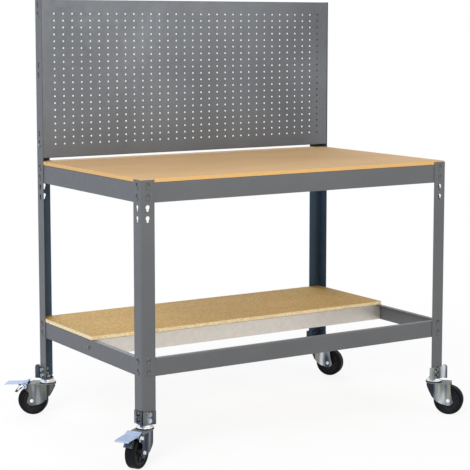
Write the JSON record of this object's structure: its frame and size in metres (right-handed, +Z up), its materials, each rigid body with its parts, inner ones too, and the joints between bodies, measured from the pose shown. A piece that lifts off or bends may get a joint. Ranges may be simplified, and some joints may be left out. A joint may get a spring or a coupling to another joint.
{
  "type": "mobile workbench",
  "caption": "Mobile workbench with angle-steel posts, chipboard worktop, half-depth lower shelf, upright pegboard and swivel casters, braked on one side.",
  "frame": {"origin": "on the floor, under the middle of the overall box with casters and pedals as pictured", "axes": "+X to the right along the worktop as a person at its front sees it, +Y to the pegboard at the rear, +Z up"},
  "size_m": [1.3806, 0.923, 1.448],
  "materials": {
    "painted_steel": "satin grey powder coat",
    "chipboard": "raw pressed chipboard",
    "galvanised_steel": "galvanised sheet",
    "zinc_plate": "bright zinc plate",
    "rubber": "matt black",
    "moulded_hub": "moulded black"
  },
  "bodies": {
    "frame": {"front_left_post": "painted_steel", "front_right_post": "painted_steel", "rear_left_post": "painted_steel", "rear_right_post": "painted_steel", "front_top_beam": "painted_steel", "rear_top_beam": "painted_steel", "left_top_beam": "painted_steel", "right_top_beam": "painted_steel", "front_low_beam": "painted_steel", "rear_low_beam": "painted_steel", "left_low_beam": "painted_steel", "right_low_beam": "painted_steel", "shelf_rail": "galvanised_steel", "shelf_rail_bolt_left": "zinc_plate", "shelf_rail_bolt_right": "zinc_plate", "worktop": "chipboard", "shelf": "chipboard", "pegboard": "painted_steel", "pegboard_bolt_left_low": "zinc_plate", "pegboard_bolt_left_high": "zinc_plate", "pegboard_bolt_right_low": "zinc_plate", "pegboard_bolt_right_high": "zinc_plate", "front_left_adaptor": "zinc_plate", "front_left_kingpin": "zinc_plate", "front_left_race_cap": "zinc_plate", "front_right_adaptor": "zinc_plate", "front_right_kingpin": "zinc_plate", "front_right_race_cap": "zinc_plate", "rear_left_adaptor": "zinc_plate", "rear_left_kingpin": "zinc_plate", "rear_left_race_cap": "zinc_plate", "rear_right_adaptor": "zinc_plate", "rear_right_kingpin": "zinc_plate", "rear_right_race_cap": "zinc_plate"},
    "front_left_caster": {"front_left_fork": "zinc_plate", "front_left_axle_bolt": "zinc_plate"},
    "front_left_wheel": {"front_left_tyre": "rubber", "front_left_hub": "moulded_hub"},
    "front_left_pedal": {"front_left_brake_pedal": "zinc_plate", "front_left_brake_shoe": "zinc_plate"},
    "front_right_caster": {"front_right_fork": "zinc_plate", "front_right_axle_bolt": "zinc_plate"},
    "front_right_wheel": {"front_right_tyre": "rubber", "front_right_hub": "moulded_hub"},
    "rear_left_caster": {"rear_left_fork": "zinc_plate", "rear_left_axle_bolt": "zinc_plate"},
    "rear_left_wheel": {"rear_left_tyre": "rubber", "rear_left_hub": "moulded_hub"},
    "rear_left_pedal": {"rear_left_brake_pedal": "zinc_plate", "rear_left_brake_shoe": "zinc_plate"},
    "rear_right_caster": {"rear_right_fork": "zinc_plate", "rear_right_axle_bolt": "zinc_plate"},
    "rear_right_wheel": {"rear_right_tyre": "rubber", "rear_right_hub": "moulded_hub"}
  },
  "joints": [
    {"name": "front_left_swivel", "type": "hinge", "parent": "frame", "child": "front_left_caster", "pos_m": [-0.55005, -0.35832, 0.115], "axis": [0, 0, 1], "continuous": true},
    {"name": "front_left_wheel_spin", "type": "hinge", "parent": "front_left_caster", "child": "front_left_wheel", "pos_m": [-0.5945, -0.38718, 0.0515], "axis": [0.5446, -0.8387, 0], "continuous": true},
    {"name": "front_left_pedal_press", "type": "hinge", "parent": "front_left_caster", "child": "front_left_pedal", "pos_m": [-0.61295, -0.39916, 0.1032], "axis": [0.5446, -0.8387, 0], "range_deg": [0, 11]},
    {"name": "front_right_swivel", "type": "hinge", "parent": "frame", "child": "front_right_caster", "pos_m": [0.60895, -0.35832, 0.115], "axis": [0, 0, 1], "continuous": true},
    {"name": "front_right_wheel_spin", "type": "hinge", "parent": "front_right_caster", "child": "front_right_wheel", "pos_m": [0.64577, -0.39644, 0.0515], "axis": [0.7193, 0.6947, 0], "continuous": true},
    {"name": "rear_left_swivel", "type": "hinge", "parent": "frame", "child": "rear_left_caster", "pos_m": [-0.55005, 0.35068, 0.115], "axis": [0, 0, 1], "continuous": true},
    {"name": "rear_left_wheel_spin", "type": "hinge", "parent": "rear_left_caster", "child": "rear_left_wheel", "pos_m": [-0.59237, 0.38258, 0.0515], "axis": [-0.6018, -0.7986, 0], "continuous": true},
    {"name": "rear_left_pedal_press", "type": "hinge", "parent": "rear_left_caster", "child": "rear_left_pedal", "pos_m": [-0.60994, 0.39582, 0.1032], "axis": [-0.6018, -0.7986, 0], "range_deg": [0, 11]},
    {"name": "rear_right_swivel", "type": "hinge", "parent": "frame", "child": "rear_right_caster", "pos_m": [0.60895, 0.35068, 0.115], "axis": [0, 0, 1], "continuous": true},
    {"name": "rear_right_wheel_spin", "type": "hinge", "parent": "rear_right_caster", "child": "rear_right_wheel", "pos_m": [0.63782, 0.30623, 0.0515], "axis": [0.8387, 0.5446, 0], "continuous": true}
  ]
}
